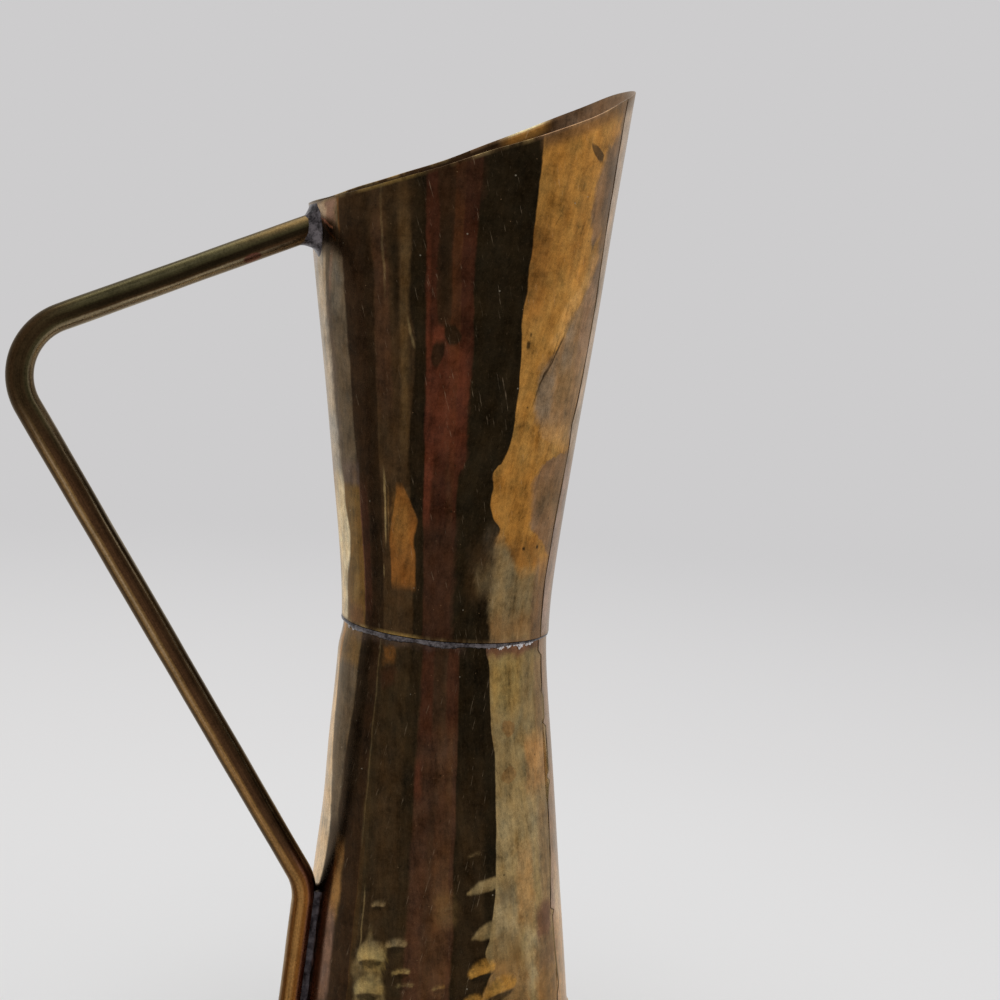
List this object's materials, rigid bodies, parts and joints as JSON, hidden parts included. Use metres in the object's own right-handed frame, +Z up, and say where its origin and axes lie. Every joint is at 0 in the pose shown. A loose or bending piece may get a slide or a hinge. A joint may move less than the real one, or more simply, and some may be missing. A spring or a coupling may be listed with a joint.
{
  "type": "ewer",
  "caption": "Tall waisted brass ewer of rolled sheet with a slanting spout mouth, a bent round-rod handle and soldered joints, for pouring water or wine.",
  "frame": {"origin": "middle of the base plate's underside, on the axis of the two cones", "axes": "+Z up along the axis of the cones, +X towards the spout, handle on -X"},
  "size_m": [0.1929, 0.102, 0.346],
  "materials": {
    "upper_sheet": "polished long ago, streaked with brown, oxblood and golden tarnish",
    "lower_sheet": "streaked tarnish, hammered towards the foot",
    "base_sheet": "dull tarnished brass, scratched where it rests",
    "rod": "dark olive-brown tarnish, worn lighter where it is held",
    "solder": "dull grey soft solder with flux stains",
    "seam": "dark line of hard solder filed flush"
  },
  "bodies": {
    "root": {"upper_body": "upper_sheet", "lower_body": "lower_sheet", "base_plate": "base_sheet", "handle_rod": "rod", "waist_solder": "solder", "upper_seam_solder": "seam", "lower_seam_solder": "seam", "upper_handle_solder": "solder", "lower_handle_solder": "solder", "base_solder": "solder"}
  },
  "joints": []
}
